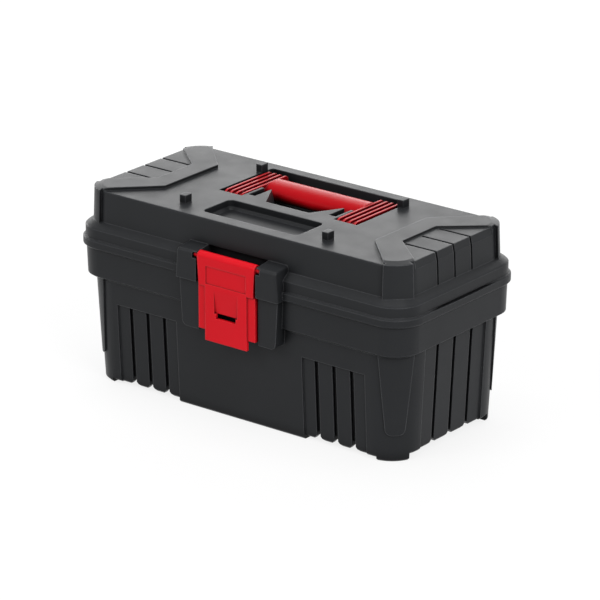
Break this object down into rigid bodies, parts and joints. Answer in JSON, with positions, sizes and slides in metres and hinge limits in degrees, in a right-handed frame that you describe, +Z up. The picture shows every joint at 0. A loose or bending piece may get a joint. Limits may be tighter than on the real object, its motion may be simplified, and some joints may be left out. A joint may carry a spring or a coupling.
{
  "type": "toolbox",
  "caption": "Moulded plastic toolbox with ribbed walls, hinged lid, folding carry handle, front latch and lift-out tray.",
  "frame": {"origin": "middle of the box's outline, on the surface that its feet stand on", "axes": "+X along the box to the right, -Y towards the latch, +Z up"},
  "size_m": [0.4, 0.208, 0.203],
  "materials": {
    "body": "fine moulded grain",
    "accent": "satin moulding",
    "tray": "fine moulded grain",
    "pin": "drawn wire"
  },
  "bodies": {
    "tub_body": {"tub": "body", "hinge_pin_left": "pin", "hinge_pin_right": "pin"},
    "lid_body": {"lid": "body"},
    "latch_body": {"latch": "accent"},
    "handle_body": {"carry_handle": "accent"},
    "tray_body": {"tray": "tray"}
  },
  "joints": [
    {"name": "lid_hinge", "type": "hinge", "parent": "tub_body", "child": "lid_body", "pos_m": [0, 0.1, 0.1386], "axis": [-1, 0, 0], "range_deg": [0, 105]},
    {"name": "latch_pivot", "type": "hinge", "parent": "lid_body", "child": "latch_body", "pos_m": [0, -0.099, 0.1645], "axis": [-1, 0, 0], "range_deg": [0, 120]},
    {"name": "handle_pivot", "type": "hinge", "parent": "lid_body", "child": "handle_body", "pos_m": [0, -0.003, 0.188], "axis": [1, 0, 0], "range_deg": [0, 90]},
    {"name": "tray_lift", "type": "slide", "parent": "tub_body", "child": "tray_body", "axis": [0, 0, 1], "range_m": [0, 0.02]}
  ]
}
